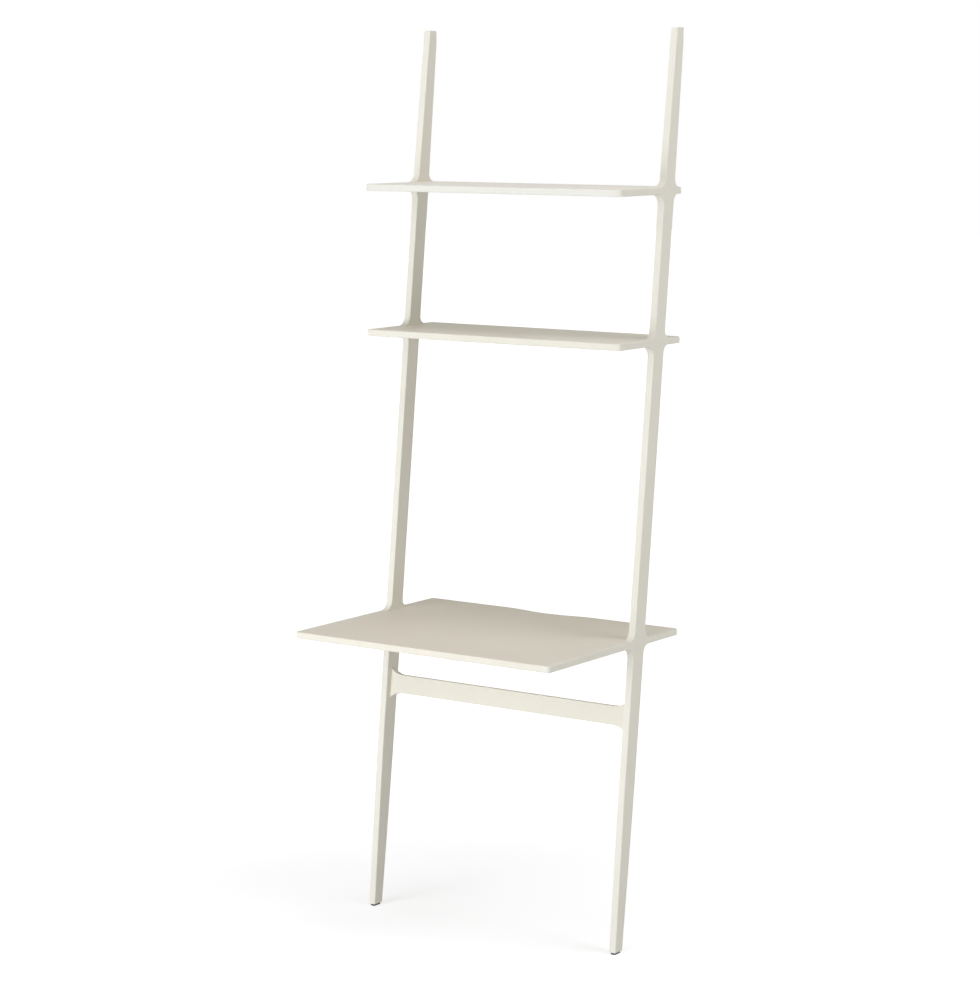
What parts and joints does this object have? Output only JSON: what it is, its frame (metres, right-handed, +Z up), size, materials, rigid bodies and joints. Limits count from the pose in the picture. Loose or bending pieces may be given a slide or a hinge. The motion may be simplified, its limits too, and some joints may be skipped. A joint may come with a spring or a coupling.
{
  "type": "ladder desk",
  "caption": "Leaning ladder desk: two slim tapered side frames that rest on a wall carry a deep desk top with a cable scoop, shallow shelves above it and a flared stretcher below.",
  "frame": {"origin": "on the floor, below the middle of the desk top, halfway between the desk's front edge and the wall", "axes": "+X to the user's right, +Y back to the wall, +Z up"},
  "size_m": [0.722, 0.555, 2.145],
  "materials": {
    "lacquered_wood": "satin off-white lacquer on solid wood",
    "lacquered_board": "satin off-white lacquer on board",
    "joint_beech": "bare beech",
    "cam_zinc": "die-cast zinc",
    "fitting_steel": "zinc-plated steel",
    "pad_nylon": "matt black nylon"
  },
  "bodies": {
    "root": {"desk_top": "lacquered_board", "desk_top_cam_bolts": "fitting_steel", "desk_top_cam_locks": "cam_zinc", "desk_top_dowels": "joint_beech", "foot_pad_screws": "fitting_steel", "hanger_screws": "fitting_steel", "left_arm_tenons": "joint_beech", "left_desk_front_arm": "lacquered_wood", "left_desk_rear_arm": "lacquered_wood", "left_foot_pad": "pad_nylon", "left_hanger_plate": "fitting_steel", "left_middle_front_arm": "lacquered_wood", "left_middle_rear_arm": "lacquered_wood", "left_stile": "lacquered_wood", "left_top_front_arm": "lacquered_wood", "left_top_rear_arm": "lacquered_wood", "middle_shelf": "lacquered_board", "middle_shelf_cam_bolts": "fitting_steel", "middle_shelf_cam_locks": "cam_zinc", "middle_shelf_dowels": "joint_beech", "right_arm_tenons": "joint_beech", "right_desk_front_arm": "lacquered_wood", "right_desk_rear_arm": "lacquered_wood", "right_foot_pad": "pad_nylon", "right_hanger_plate": "fitting_steel", "right_middle_front_arm": "lacquered_wood", "right_middle_rear_arm": "lacquered_wood", "right_stile": "lacquered_wood", "right_top_front_arm": "lacquered_wood", "right_top_rear_arm": "lacquered_wood", "stretcher": "lacquered_wood", "stretcher_cam_bolts": "fitting_steel", "stretcher_cam_locks": "cam_zinc", "stretcher_dowels": "joint_beech", "top_shelf": "lacquered_board", "top_shelf_cam_bolts": "fitting_steel", "top_shelf_cam_locks": "cam_zinc", "top_shelf_dowels": "joint_beech"}
  },
  "joints": []
}
